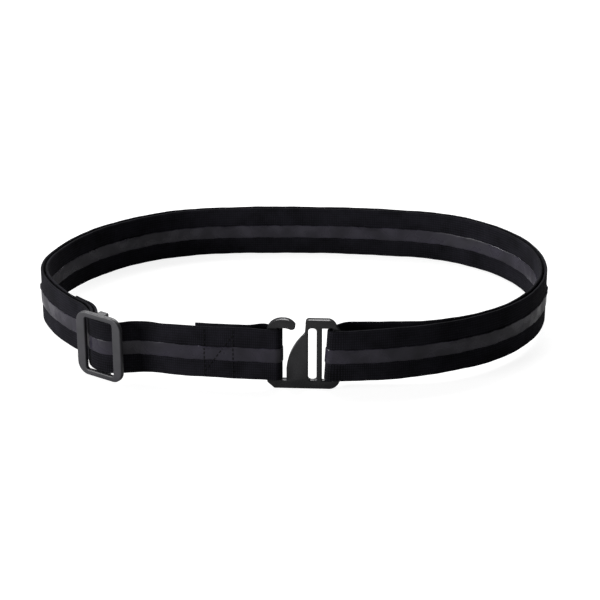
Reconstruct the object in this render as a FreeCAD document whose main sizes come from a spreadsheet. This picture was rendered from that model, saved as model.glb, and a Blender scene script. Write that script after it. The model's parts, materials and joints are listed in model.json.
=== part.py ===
"""Elastic waist belt with a hooked buckle, a sliding adjuster and a rubber grip stripe.

The belt stands on its edge, closed round an empty waist.  One long elastic webbing makes all of it:

* one end is sewn in a loop round the post of the hooked buckle, at the front;
* the webbing runs left along the front, through the slider, and round the left side, the back and
  the right side as the outer layer, to the buckle's other end;
* it turns round the buckle's bar and comes back inside the outer layer, as the inner layer, all the
  way to the slider, where its other end is sewn round the slider's middle bar.

The plan of the webbing is a chain of straight runs and tangent arcs.  Every layer, stripe and seam
is an offset of that chain, so they follow it when a size changes.  Units are millimetres, +Z is up,
the buckle faces -Y and the origin is under the middle of the belt, on the surface that it stands on.
"""
import FreeCAD, Part

import math
import os

import Sketcher
from FreeCAD import Vector

# ---------------------------------------------------------------------------- driving sizes
SIZES = [
    # webbing
    ("strap_width", 30.6, "height of the webbing as it stands on its edge"),
    ("strap_thickness", 1.6, "one layer of elastic webbing"),
    ("layer_space", 1.3, "air between the outer and the inner layer"),
    ("sewn_gap", 0.1, "gap left between two layers that are sewn together"),
    ("stripe_width", 8.4, "rubber grip stripe along the middle of the webbing"),
    ("stripe_thickness", 0.4, "how far the stripe stands proud"),
    # plan of the outer face, clockwise from the buckle's post
    ("front_heading", 173.2, "direction of the straight front run, degrees from +X"),
    ("front_run", 42.0, "straight run beside the buckle"),
    ("left_front_radius", 114.0, ""),
    ("left_front_turn", 64.0, ""),
    ("left_bend_radius", 55.0, ""),
    ("left_bend_turn", 32.0, ""),
    ("left_back_radius", 112.0, ""),
    ("left_back_turn", 72.0, ""),
    ("back_turn", 16.0, ""),
    ("right_back_radius", 90.0, ""),
    ("right_back_turn", 58.0, ""),
    ("right_bend_turn", 83.0, ""),
    ("right_front_radius", 161.0, ""),
    # inner layer between the right bend and the buckle
    ("inner_leave_turn", 71.0, "part of the right bend that both layers share"),
    ("inner_front_heading", 2.0, "direction of the inner front run, seen from the buckle"),
    ("inner_leg", 3.0, "straight of the inner layer just behind the bar"),
    ("inner_leg_radius", 11.0, "its bend away from the bar"),
    ("bar_wrap_turn", 122.0, "how far the webbing turns round the bar"),
    # hooked buckle
    ("buckle_thickness", 3.5, ""),
    ("buckle_yaw", 3.0, "plate turned about Z, left end towards the back, degrees"),
    ("lower_rail", 4.8, "from the bottom edge to the slots"),
    ("upper_rail", 5.1, "from the slots to the top edge"),
    ("slot_play", 0.4, "slot past each edge of the webbing"),
    ("post_width", 6.4, "post that the sewn loop hooks over"),
    ("hook_slot_width", 4.3, "open slot beside the post"),
    ("body_width", 11.9, "web between the open slot and the first slot"),
    ("spare_slot_width", 4.6, "first slot, left free"),
    ("middle_bar_width", 3.0, "bar between the two slots"),
    ("bar_slot_width", 5.8, "second slot, which the webbing passes"),
    ("bar_width", 4.1, "end bar that the webbing turns round"),
    ("horn_gap", 5.1, "mouth between the horn's tip and the body"),
    ("loop_play", 0.6, "sewn loop round the post, each side"),
    ("bar_play", 0.35, "webbing round the end bar, each side"),
    ("tail_length", 44.0, "folded end of the sewn loop, from the post"),
    ("edge_flat", 1.68, "flat left between the rounded edges of the buckle's post and slots"),
    ("spare_slot_corner", 1.9, "corner radius of the first slot"),
    ("fold_bend", 12.0, "bend of the folded end towards the front layer"),
    ("fold_lead", 1.0, "straight of the folded end past the post"),
    # buckle's outline: runs along the plate, rises and drops in height, bulges off a chord
    ("foot_chamfer_run", 4.1, "left foot's chamfer"),
    ("foot_chamfer_rise", 3.6, ""),
    ("foot_corner_run", 5.4, "right foot's round corner"),
    ("foot_corner_rise", 5.0, ""),
    ("foot_corner_bulge", 1.07, ""),
    ("end_bevel_drop", 6.4, "bevel above the right side"),
    ("end_corner_inset", 1.9, "from the bevel's top to the right side"),
    ("end_corner_drop", 3.9, "round corner above the bevel"),
    ("end_corner_run", 6.1, ""),
    ("end_corner_bulge", 0.75, ""),
    ("neck_wall", 1.9, "wall beside the first slot, at the neck"),
    ("neck_corner_run", 2.4, "round corner above the neck"),
    ("neck_corner_drop", 2.5, ""),
    ("neck_corner_bulge", 0.77, ""),
    ("neck_lean", 0.5, "neck's lean towards the slot at its top"),
    ("neck_drop", 3.5, "neck's lower end, below the slots' top"),
    ("shoulder_run", 1.3, "shoulder below the neck"),
    ("shoulder_drop", 5.1, "its lower end, below the slots' top"),
    ("body_hollow", 1.69, "bulge of the body's curved side"),
    ("body_foot", 7.5, "straight below it"),
    ("horn_root_run", 3.6, "straight underside of the horn"),
    ("horn_under_bulge", 0.1, ""),
    ("tip_run", 2.5, "from the horn's tip to its lowest point"),
    ("tip_hang", 0.9, "lowest point below the slots' top"),
    ("tip_rise", 1.6, "tip above the slots' top"),
    ("tip_under_bulge", 0.92, ""),
    ("tip_over_bulge", 1.06, ""),
    ("horn_crest_run", 6.8, "from the tip to the horn's crest"),
    ("horn_back_bulge", 1.77, ""),
    ("horn_back_drop", 0.7, "where the horn's back meets the post, below the slots' top"),
    # slider
    ("slider_place", 26.5, "slider's middle, degrees along the left front bend"),
    ("slider_length", 31.0, "along the webbing"),
    ("slider_rail", 3.4, "above and below the webbing's slot"),
    ("slider_play", 0.6, "slot past each edge of the webbing"),
    ("slider_thickness", 2.6, ""),
    ("slider_bar_width", 6.0, "each outer bar"),
    ("slider_strap_space", 0.35, "webbing behind the outer bars"),
    ("centre_bar_width", 3.0, ""),
    ("centre_bar_thickness", 2.2, ""),
    ("slider_corner", 7.0, "corner radius of the frame"),
    ("slider_round", 0.7, "rounded edges of the frame"),
    ("slider_stand_off", 9.2, "slider in front of the belt's own line"),
    ("window_corner", 1.5, "corner radius of the slider's window"),
    ("lug_margin", 1.5, "lugs past the middle bar, each side"),
    ("lug_inset", 0.4, "lugs from the slider's upper and lower edge"),
    ("lug_gap", 0.1, "lugs from the window"),
    ("lug_corner", 0.8, "corner radius of a lug"),
    ("bar_inset", 1.0, "ends of the middle bar from the slider's upper and lower edge"),
    ("bar_lift", 1.2, "middle bar in front of the inner layer's inner face"),
    ("loop_space", 0.1, "webbing round the middle bar, each side"),
    ("rise_foot_radius", 28.0, "bend where the outer layer leaves the belt's line"),
    ("rise_radius", 17.0, "its bend over the middle bar"),
    ("loop_foot_radius", 24.0, "bends where the sewn end leaves the belt's line"),
    ("loop_rise_radius", 14.6, "its bends at the middle bar"),
    ("weave_reach", 14.6, "outer layer that moves with the slider, degrees each side"),
    ("loop_reach", 19.2, "inner layer that moves with the slider, degrees"),
    ("sewn_reach", 18.0, "folded end of the slider's loop, degrees"),
    # stitching
    ("thread", 0.5, "width of a stitch"),
    ("thread_rise", 0.25, "how far a stitch stands proud"),
    ("stitch_length", 2.2, ""),
    ("stitch_pitch", 3.0, ""),
    ("seam_margin", 2.0, "seam from the webbing's edge"),
    ("first_seam", 23.0, "hook loop's first seam, from the post"),
    ("second_seam", 39.0, "its second seam"),
    ("slant_gap", 1.5, "the slanting seam's ends from the upright seams"),
    ("loop_past_seam", 2.0, "sewn loop past its first seam"),
    ("near_seam", 3.2, "slider loop's seam nearer the bar, degrees from the folded end"),
    ("far_seam", 1.0, "its other seam"),
    ("thread_clear", 0.02, "slider's stitches from the face below them"),
    # lengths of the webbing that follow the buckle
    ("outer_leg", 5.0, "turns with the buckle, in front"),
    ("outer_flex", 30.0, "bends when the buckle turns, in front"),
    ("inner_flex", 14.0, "the same, behind"),
]
size = {name: value for name, value, _ in SIZES}

doc = FreeCAD.newDocument("waist_belt")
sheet = doc.addObject("Spreadsheet::Sheet", "Sizes")


def put_in_sheet(rows, first_row=1):
    """Write (name, value, note) rows to the sheet, each value with its name as alias."""
    for row, (name, value, note) in enumerate(rows, first_row):
        sheet.set(f"A{row}", name)
        sheet.set(f"B{row}", f"{value:.6f}")
        sheet.setAlias(f"B{row}", name)
        sheet.set(f"C{row}", note)
    doc.recompute()


def total(names):
    """Sum of sizes given by name; a name that starts with - is taken away."""
    return sum(-size[n[1:]] if n.startswith("-") else size[n] for n in names)


def formula(names):
    """The same sum as an expression on the sheet."""
    return "".join(f" - Sizes.{n[1:]}" if n.startswith("-") else f" + Sizes.{n}" for n in names)


# ---------------------------------------------------------------------------- paths in plan
# A path is a start point, a heading in degrees and a list of moves.  A move is
# ("run", length) or ("bend", radius, turn, names): turn is positive to the right, which is
# clockwise from above, and names are the sizes that add up to the radius.
def direction(heading):
    angle = math.radians(heading)
    return Vector(math.cos(angle), math.sin(angle), 0)


def right_of(heading):
    return direction(heading - 90)


def walk(start, heading, moves):
    """Edges of a path, with the end point and the end heading."""
    edges, point = [], start
    for move in moves:
        if move[0] == "run":
            end = point + direction(heading) * move[1]
            edges.append((Part.LineSegment(point, end), None))
        else:
            _, radius, turn, names = move
            side = 1 if turn > 0 else -1
            centre = point + right_of(heading) * radius * side
            middle = centre - right_of(heading - turn / 2) * radius * side
            end = centre - right_of(heading - turn) * radius * side
            edges.append((Part.Arc(point, middle, end), names))
            heading -= turn
        point = end
    return edges, point, heading


def offset(start, heading, moves, names):
    """The path moved to its right by the sum of some sizes."""
    shift = total(names)
    moved = []
    for move in moves:
        if move[0] == "run":
            moved.append(move)
            continue
        _, radius, turn, radius_names = move
        if turn > 0:
            change = [n[1:] if n.startswith("-") else "-" + n for n in names]
            moved.append(("bend", radius - shift, turn, list(radius_names) + change))
        else:
            moved.append(("bend", radius + shift, turn, list(radius_names) + list(names)))
    return start + right_of(heading) * shift, heading, moved


def move_length(move):
    return move[1] if move[0] == "run" else move[1] * math.radians(abs(move[2]))


def stretch(path, first, last):
    """Part of a path between two lengths along it."""
    start, heading, moves = path
    kept, done = [], 0.0
    for move in moves:
        length = move_length(move)
        low, high = max(first - done, 0.0), min(last - done, length)
        done += length
        if high - low < 1e-6:
            if not kept:
                _, start, heading = walk(start, heading, [move])
            continue
        share = (high - low) / length
        lead = (low / length) if not kept and low > 1e-6 else 0.0
        if move[0] == "run":
            if lead:
                start = start + direction(heading) * low
            kept.append(("run", move[1] * share))
        else:
            if lead:
                _, start, heading = walk(start, heading, [("bend", move[1], move[2] * lead, [])])
            kept.append(("bend", move[1], move[2] * share, move[3]))
    return start, heading, kept


def turned_back(path):
    """The same path walked from its end."""
    start, heading, moves = path
    _, end, last = walk(start, heading, moves)
    back = [m if m[0] == "run" else ("bend", m[1], -m[2], m[3]) for m in reversed(moves)]
    return end, last + 180, back


def path_length(path):
    return sum(move_length(m) for m in path[2])


# ---------------------------------------------------------------------------- features
def closed_sketch(name, edges):
    """A sketch of joined edges, whose arcs take their radii from the sheet."""
    sketch = doc.addObject("Sketcher::SketchObject", name)
    first = sketch.addGeometry([edge for edge, _ in edges], False)[0]
    count = len(edges)
    for i in range(count):
        following = (i + 1) % count
        end = edges[i][0].EndPoint
        start_point = 1
        if end.distanceToPoint(sketch.getPoint(first + following, 1)) > 1e-4:
            start_point = 2
        end_point = 2
        if end.distanceToPoint(sketch.getPoint(first + i, 2)) > 1e-4:
            end_point = 1
        sketch.addConstraint(
            Sketcher.Constraint("Coincident", first + i, end_point, first + following, start_point)
        )
    for i, (edge, names) in enumerate(edges):
        if names:
            radius = edge.toShape().Curve.Radius
            index = sketch.addConstraint(Sketcher.Constraint("Radius", first + i, radius))
            sketch.setExpression(f"Constraints[{index}]", formula(names))
    return sketch


def band_outline(path, near, far):
    """Closed outline of a band that follows a path, between two offsets to its right."""
    near_edges, near_end, _ = walk(*offset(*path, near))
    far_path = offset(*path, far)
    _, far_end, _ = walk(*far_path)
    back_edges, back_end, _ = walk(*turned_back(far_path))
    near_start = offset(*path, near)[0]
    return (
        near_edges
        + [(Part.LineSegment(near_end, far_end), None)]
        + back_edges
        + [(Part.LineSegment(back_end, near_start), None)]
    )


def upright(name, sketch):
    """A sketch in plan drawn up to well past the top of the webbing."""
    solid = doc.addObject("Part::Extrusion", name)
    solid.Base = sketch
    solid.DirMode = "Custom"
    solid.Dir = Vector(0, 0, 1)
    solid.Solid = True
    solid.setExpression("LengthFwd", "Sizes.strap_width + 2 * Sizes.edge_lift")
    return solid


def band(label, path, near, far, envelope):
    """One length of webbing or stripe, trimmed to its sloping edges."""
    sketch = closed_sketch(label + "_plan", band_outline(path, near, far))
    trimmed = doc.addObject("Part::Common", label)
    trimmed.Base = upright(label + "_wall", sketch)
    trimmed.Tool = envelope
    trimmed.Label = label
    nodes.append(trimmed)
    return trimmed


nodes = []

# ---------------------------------------------------------------------------- buckle's frame
# The plate's own frame: x along the plate from its left end, y through it, z up from its bottom.
post_left = 0.0
post_right = post_left + size["post_width"]
body_left = post_right + size["hook_slot_width"]
spare_slot_left = body_left + size["body_width"]
middle_bar_left = spare_slot_left + size["spare_slot_width"]
bar_slot_left = middle_bar_left + size["middle_bar_width"]
bar_left = bar_slot_left + size["bar_slot_width"]
plate_right = bar_left + size["bar_width"]
half_plate = size["buckle_thickness"] / 2
post_wrap_x = post_right - half_plate
bar_wrap_x = bar_left + half_plate
slot_height = size["strap_width"] + 2 * size["slot_play"]
plate_height = size["lower_rail"] + slot_height + size["upper_rail"]
size["edge_lift"] = size["lower_rail"] + size["slot_play"]
size["edge_round"] = half_plate - size["edge_flat"] / 2
plate_heading = -size["buckle_yaw"]


def on_plate(x, bar_centre):
    """Point of the plate's middle plane, from the centre that the webbing turns round."""
    return bar_centre + direction(plate_heading) * (x - bar_wrap_x)


# ---------------------------------------------------------------------------- plan of the belt
size["post_wrap"] = half_plate + size["loop_play"]
size["post_wrap_outer"] = size["post_wrap"] + size["strap_thickness"]
size["bar_wrap"] = half_plate + size["bar_play"]
size["bar_wrap_outer"] = size["bar_wrap"] + size["strap_thickness"]
total_turn = size["front_heading"] + 180.0
named_turns = ["left_front", "left_bend", "left_back", "back", "right_back", "right_bend"]
size["right_front_turn"] = total_turn - sum(size[n + "_turn"] for n in named_turns)


def solve_two(target, first, second):
    """Numbers a and b for which a * first + b * second is target."""
    cross = first.x * second.y - first.y * second.x
    a = (target.x * second.y - target.y * second.x) / cross
    b = (first.x * target.y - first.y * target.x) / cross
    return a, b


def unit_bend(heading, turn):
    """Displacement along a bend of radius 1."""
    return walk(Vector(), heading, [("bend", 1.0, turn, [])])[1]


# The outer layer starts on the front of the sewn loop and ends on the front of the bar's wrap.
# Its back radius and right bend radius are those that bring it there.
bar_centre = Vector()
post_centre = on_plate(post_wrap_x, bar_centre)
outer_start = post_centre - right_of(size["front_heading"]) * size["post_wrap_outer"]
outer_end = bar_centre - right_of(-180) * size["bar_wrap_outer"]
known, heading = outer_start + direction(size["front_heading"]) * size["front_run"], size["front_heading"]
open_bends = {}
for name in named_turns + ["right_front"]:
    turn = size[name + "_turn"]
    if name + "_radius" in size:
        known = known + unit_bend(heading, turn) * size[name + "_radius"]
    else:
        open_bends[name] = unit_bend(heading, turn)
    heading -= turn
back_radius, right_bend_radius = solve_two(outer_end - known, open_bends["back"], open_bends["right_bend"])
size["back_radius"] = back_radius
size["right_bend_radius"] = right_bend_radius

outer_moves = [("run", size["front_run"])] + [
    ("bend", size[n + "_radius"], size[n + "_turn"], [n + "_radius"]) for n in named_turns + ["right_front"]
]

# The outline's extremes lie where it runs along X or Y; they centre the belt on the origin.
extremes, point, heading = [], outer_start, size["front_heading"]
for move in outer_moves:
    _, end, after = walk(point, heading, [move])
    for square_heading in (90, 0, -90, -180):
        if after <= square_heading <= heading and move[0] == "bend":
            part_turn = heading - square_heading
            extremes.append(walk(point, heading, [("bend", move[1], part_turn, [])])[1])
    point, heading = end, after
low_x, high_x = min(p.x for p in extremes), max(p.x for p in extremes)
low_y, high_y = min(p.y for p in extremes), max(p.y for p in extremes)
to_origin = Vector(-(low_x + high_x) / 2, -(low_y + high_y) / 2, 0)
stripe_rise = size["stripe_thickness"]

bar_centre = bar_centre + to_origin
post_centre = post_centre + to_origin
outer_start = outer_start + to_origin
outer_end = outer_end + to_origin
front_y, back_y = (low_y - high_y) / 2, (high_y - low_y) / 2
outer = (outer_start, size["front_heading"], outer_moves)

# Lengths along the outer face where the chain passes from one bend to the next.
marks, done = {}, 0.0
for name, move in zip(["front_run"] + named_turns + ["right_front"], outer_moves):
    done += move_length(move)
    marks[name] = done
outer_length = done

# ---------------------------------------------------------------------------- slider's place
arc_start, arc_heading = walk(outer_start, size["front_heading"], outer_moves[:1])[1:]
arc_centre = arc_start + right_of(arc_heading) * size["left_front_radius"]
slider_heading = arc_heading - size["slider_place"]
slider_out = -right_of(slider_heading)


def along_arc(degrees_from_slider):
    """Length along the outer face of a place on the slider's bend."""
    turn = size["slider_place"] + degrees_from_slider
    return size["front_run"] + math.radians(turn) * size["left_front_radius"]


def climb(radius, top, foot_bend, top_bend):
    """Turns of a layer that leaves a round path and climbs to a given distance from its centre.

    Returns where it leaves, in degrees before the top, and how far the top bend turns.
    """
    far, near, reach = radius + foot_bend, top - top_bend, foot_bend + top_bend
    leave = math.acos((far**2 + near**2 - reach**2) / (2 * far * near))
    top_turn = math.asin(far * math.sin(leave) / reach)
    return math.degrees(leave), math.degrees(top_turn)


thickness = size["strap_thickness"]
outer_back = size["left_front_radius"] - thickness
inner_front = outer_back - size["layer_space"]
inner_back = inner_front - thickness
bar_back = inner_back + size["bar_lift"] + size["slider_stand_off"]
size["centre_bar_back"] = bar_back
bar_front = bar_back + size["centre_bar_thickness"]
loop_top = bar_front + size["loop_space"] + thickness
weave_top = loop_top + size["loop_space"] + thickness
half_slider = size["slider_length"] / 2
half_window = half_slider - size["slider_bar_width"]
stand_off_radius = size["left_front_radius"] + size["slider_stand_off"]
slider_back = math.sqrt(stand_off_radius**2 - half_window**2) + stripe_rise + size["slider_strap_space"]
size["lug_depth"] = slider_back - bar_back

# ---------------------------------------------------------------------------- inner layer
# Walked from the bar: round the bar, away from it, along the front and into the right bend, where
# it runs inside the outer layer.
size["inner_depth"] = 2 * thickness + size["layer_space"]
wrap_heading = 180 - size["bar_wrap_turn"]
join_outer = outer_length - size["right_front_turn"] * math.radians(1) * size["right_front_radius"]
join_outer -= math.radians(size["right_bend_turn"] - size["inner_leave_turn"]) * right_bend_radius
join_path = turned_back(offset(*stretch(outer, 0, join_outer), ["inner_depth"]))
inner_face_start = bar_centre - right_of(-180) * size["bar_wrap_outer"]
leg_moves = [
    ("bend", size["bar_wrap_outer"], size["bar_wrap_turn"], ["bar_wrap_outer"]),
    ("run", size["inner_leg"]),
    ("bend", size["inner_leg_radius"], wrap_heading - size["inner_front_heading"], ["inner_leg_radius"]),
]
_, leg_end, leg_heading = walk(inner_face_start, 180, leg_moves)
join_turn = join_path[1] - 360 * round((join_path[1] - leg_heading) / 360) - leg_heading
front_length, inner_front_radius = solve_two(
    join_path[0] - leg_end, direction(leg_heading), unit_bend(leg_heading, -join_turn)
)
size["inner_front_radius"] = inner_front_radius
inner_front_moves = [("run", front_length), ("bend", inner_front_radius, -join_turn, ["inner_front_radius"])]
# The inner face of the inner layer, from the front of the bar to the slider.
inner = (inner_face_start, 180, leg_moves + inner_front_moves + join_path[2])
inner_length = path_length(inner)

DERIVED = [
    "edge_lift", "edge_round", "post_wrap", "post_wrap_outer", "bar_wrap", "bar_wrap_outer", "right_front_turn",
    "back_radius", "right_bend_radius", "centre_bar_back", "lug_depth", "inner_depth",
    "inner_front_radius",
]
put_in_sheet(SIZES + [(name, size[name], "worked out from the sizes above") for name in DERIVED])
print("back radius %.1f, right bend radius %.1f" % (back_radius, right_bend_radius))
print("inner front run %.1f, radius %.1f, turn %.1f" % (front_length, inner_front_radius, join_turn))
print("outer layer %.1f mm long" % outer_length)

# ---------------------------------------------------------------------------- sloping envelopes
def edge_height(y):
    """Height of the webbing's lower edge: raised at the front by the buckle, on the ground behind."""
    return size["edge_lift"] * (back_y - y) / (back_y - front_y)


SLAB_MARGIN = 20.0  # past the belt on every side


def sloping_slab(name, low_offset, height_names):
    """A slab whose lower face slopes with the webbing's edge; it trims every band."""
    front, back = front_y - SLAB_MARGIN, back_y + SLAB_MARGIN
    corners = []
    for y, lift in ((front, 0), (back, 0), (back, 1), (front, 1)):
        z = edge_height(y) + low_offset + lift * total(height_names)
        corners.append(Vector(y, z, 0))
    edges = [
        (Part.LineSegment(corners[i], corners[(i + 1) % 4]), None) for i in range(4)
    ]
    sketch = closed_sketch(name + "_side", edges)
    index = sketch.addConstraint(Sketcher.Constraint("DistanceY", 1, 1, 1, 2, total(height_names)))
    sketch.setExpression(f"Constraints[{index}]", formula(height_names))
    sketch.Placement = FreeCAD.Placement(Vector(), FreeCAD.Rotation(Vector(1, 1, 1), 120))
    slab = doc.addObject("Part::Extrusion", name)
    slab.Base = sketch
    slab.DirMode = "Custom"
    slab.Dir = Vector(1, 0, 0)
    slab.Solid = True
    slab.Symmetric = True
    slab.LengthFwd = high_x - low_x + 2 * SLAB_MARGIN
    return slab


webbing_slab = sloping_slab("webbing_edges", 0, ["strap_width"])
stripe_slab = sloping_slab(
    "stripe_edges", (size["strap_width"] - size["stripe_width"]) / 2, ["stripe_width"]
)

OUTER_FACES = ([], ["strap_thickness"])
STRIPE_FACES = (["-stripe_thickness"], [])


def webbing(label, path):
    return band(label, path, *OUTER_FACES, webbing_slab)


def stripe(label, path):
    return band(label, path, *STRIPE_FACES, stripe_slab)


# ---------------------------------------------------------------------------- outer layer
first_moving = along_arc(-size["weave_reach"])
last_moving = along_arc(size["weave_reach"])
inner_last_moving = along_arc(size["loop_reach"])
seam_end = size["first_seam"] + size["loop_past_seam"]
flex_start = outer_length - size["outer_leg"] - size["outer_flex"]
leg_start = outer_length - size["outer_leg"]
half_left_back = (marks["left_bend"] + marks["left_back"]) / 2

webbing("front_strap", stretch(outer, seam_end, size["front_run"]))
webbing("strap_right_of_slider", stretch(outer, size["front_run"], first_moving))
webbing("strap_left_of_slider", stretch(outer, last_moving, marks["left_front"]))
webbing("outer_left_bend", stretch(outer, marks["left_front"], half_left_back))
webbing("outer_back_run", stretch(outer, half_left_back, marks["back"]))
webbing("outer_right_back", stretch(outer, marks["back"], marks["right_back"]))
webbing("outer_right_bend", stretch(outer, marks["right_back"], marks["right_bend"]))
webbing("outer_front_run", stretch(outer, marks["right_bend"], flex_start))
webbing("outer_strap_by_buckle", stretch(outer, flex_start, leg_start))

stripe("stripe_right_of_slider", stretch(outer, size["front_run"], first_moving))
stripe("stripe_left_of_slider", stretch(outer, last_moving, marks["left_front"]))
stripe("outer_grip_stripe", stretch(outer, marks["left_front"], flex_start))
stripe("stripe_by_buckle_outside", stretch(outer, flex_start, leg_start))

# ---------------------------------------------------------------------------- inner layer
# Its inner face is the same side of the webbing as the outer layer's outer face.
inner_wrap_end = path_length((None, None, leg_moves[:2]))
inner_flex_end = path_length((None, None, leg_moves)) + size["inner_flex"]
inner_front_end = path_length((None, None, leg_moves + inner_front_moves))


def inner_mark(length_on_outer):
    """Length along the inner layer where the outer layer has a given length."""
    beyond = offset(*stretch(outer, length_on_outer, join_outer), ["inner_depth"])
    return inner_front_end + path_length(beyond)


def inner_webbing(label, first, last):
    # The webbing lies on the other side of this path, towards the outer layer.
    return band(label, stretch(inner, first, last), [], ["strap_thickness"], webbing_slab)


def inner_stripe(label, first, last):
    return band(label, stretch(inner, first, last), ["-stripe_thickness"], [], stripe_slab)


inner_right = inner_mark(marks["right_back"])
inner_back = inner_mark(marks["back"])
inner_left = inner_mark(half_left_back)
inner_left_end = inner_mark(marks["left_front"])
inner_moving = inner_mark(inner_last_moving)

inner_webbing("inner_strap_by_buckle", inner_wrap_end, inner_flex_end)
inner_webbing("inner_front_run", inner_flex_end, inner_front_end)
inner_webbing("inner_right_bend", inner_front_end, inner_right)
inner_webbing("inner_right_back", inner_right, inner_back)
inner_webbing("inner_back_run", inner_back, inner_left)
inner_webbing("inner_left_bend", inner_left, inner_left_end)
inner_webbing("inner_strap_by_slider", inner_left_end, inner_moving)
inner_stripe("stripe_by_buckle_inside", inner_wrap_end, inner_flex_end)
inner_stripe("inner_grip_stripe", inner_flex_end, inner_left_end)
inner_stripe("inner_stripe_by_slider", inner_left_end, inner_moving)

# ---------------------------------------------------------------------------- loop round the bar
bar_loop_lead = stretch(outer, leg_start, outer_length)
bar_loop = (bar_loop_lead[0], bar_loop_lead[1], bar_loop_lead[2] + leg_moves[:2])
webbing("buckle_loop", bar_loop)
stripe("stripe_on_buckle_loop", bar_loop)

# ---------------------------------------------------------------------------- sewn loop on the post
# Walked from the folded end: along the inside, round the post and along the front.
size["tail_gap"] = 2 * size["post_wrap"] - size["sewn_gap"]
size["fold_outer"] = size["fold_bend"] + thickness
fold_bends = size["fold_bend"] + size["fold_outer"]
fold_turn = math.degrees(math.acos(1 - size["tail_gap"] / fold_bends))
fold_length = fold_bends * math.sin(math.radians(fold_turn))
post_span = size["post_width"] - 2 * half_plate + size["fold_lead"]
tail_start = size["tail_length"] - post_span - fold_length
put_in_sheet(
    [("fold_outer", size["fold_outer"], "worked out from the sizes above")], len(SIZES) + len(DERIVED) + 1
)
wrap_back = post_centre + right_of(size["front_heading"]) * size["post_wrap_outer"]
loop_path = turned_back((
    wrap_back,
    size["front_heading"],
    [
        ("run", post_span),
        ("bend", size["fold_bend"], -fold_turn, ["fold_bend"]),
        ("bend", size["fold_outer"], fold_turn, ["fold_outer"]),
        ("run", tail_start),
    ],
))
# The webbing comes back to the post behind the front layer and makes a half turn round its free side.
hook_path = (
    loop_path[0],
    loop_path[1],
    loop_path[2]
    + [("bend", size["post_wrap_outer"], 180.0, ["post_wrap_outer"]), ("run", seam_end)],
)
webbing("hook_loop", hook_path)
front_rest = ("run", size["front_run"] - seam_end)
stripe("front_grip_stripe", (hook_path[0], hook_path[1], hook_path[2] + [front_rest]))

# ---------------------------------------------------------------------------- webbing on the slider
leave, crest = climb(size["left_front_radius"], weave_top, size["rise_foot_radius"], size["rise_radius"])
weave_start, weave_heading = walk(*stretch(outer, 0, first_moving))[1:]
shoulder = size["weave_reach"] - leave
weave_moves = [
    ("bend", size["left_front_radius"], shoulder, ["left_front_radius"]),
    ("bend", size["rise_foot_radius"], -(crest - leave), ["rise_foot_radius"]),
    ("bend", size["rise_radius"], 2 * crest, ["rise_radius"]),
    ("bend", size["rise_foot_radius"], -(crest - leave), ["rise_foot_radius"]),
    ("bend", size["left_front_radius"], shoulder, ["left_front_radius"]),
]
weave = (weave_start, weave_heading, weave_moves)
webbing("slider_strap", weave)
stripe("stripe_on_slider", weave)

# Sewn end round the middle bar: along the inner layer to the bar, over it, back behind it, and
# along the inner layer's inner face.  The path is the face that touches the bar.
inner_face = size["left_front_radius"] - size["inner_depth"]
touch_top = bar_front + size["loop_space"]
touch_under = bar_back - size["loop_space"]
foot, top_bend = size["loop_foot_radius"] + thickness, size["loop_rise_radius"] - thickness
loop_leave, loop_crest = climb(inner_face, touch_top, foot, top_bend)
tail_face = inner_face - size["sewn_gap"]
tail_leave, tail_crest = climb(
    tail_face, touch_under, size["loop_foot_radius"], size["loop_rise_radius"]
)
bar_round = (touch_top - touch_under) / 2
half_flat = size["centre_bar_width"] / 2 - size["centre_bar_thickness"] / 2
size["bar_round"] = bar_round
size["loop_foot"], size["loop_crest"] = foot, top_bend
size["inner_face_radius"], size["tail_face_radius"] = inner_face, tail_face
put_in_sheet(
    [(n, size[n], "worked out from the sizes above") for n in
     ("bar_round", "loop_foot", "loop_crest", "inner_face_radius", "tail_face_radius")],
    len(SIZES) + len(DERIVED) + 3,
)


def at_slider(degrees, radius):
    """Point of the slider's bend, degrees beyond the slider's middle."""
    return arc_centre - right_of(slider_heading - degrees) * radius


sewn_path = (
    at_slider(size["loop_reach"], inner_face),
    slider_heading - size["loop_reach"] + 180,
    [
        ("bend", inner_face, -(size["loop_reach"] - loop_leave), ["inner_face_radius"]),
        ("bend", foot, loop_crest - loop_leave, ["loop_foot"]),
        ("bend", top_bend, -loop_crest, ["loop_crest"]),
        ("run", half_flat),
        ("bend", bar_round, -180.0, ["bar_round"]),
        ("run", half_flat),
        ("bend", size["loop_rise_radius"], tail_crest, ["loop_rise_radius"]),
        ("bend", size["loop_foot_radius"], -(tail_crest - tail_leave), ["loop_foot_radius"]),
        ("bend", tail_face, size["sewn_reach"] - tail_leave, ["tail_face_radius"]),
    ],
)
band("slider_end_loop", sewn_path, [], ["strap_thickness"], webbing_slab)


# ---------------------------------------------------------------------------- stitching
def stitch(origin, along, out, up_angle=90.0, base=0.0):
    """One stitch: a small flat-topped thread lying on a face.

    along is the horizontal direction of the face, out its normal, and up_angle turns the stitch
    from horizontal to upright.
    """
    lean = math.radians(up_angle)
    ahead = along * math.cos(lean) + Vector(0, 0, 1) * math.sin(lean)
    across = out.cross(ahead)
    half_l, half_w = size["stitch_length"] / 2, size["thread"] / 2
    foot_point = origin + out * base
    corners = [foot_point + ahead * a * half_l + across * b * half_w
               for a, b in ((-1, -1), (1, -1), (1, 1), (-1, 1), (-1, -1))]
    return Part.Face(Part.makePolygon(corners)).extrude(out * size["thread_rise"])


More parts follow.
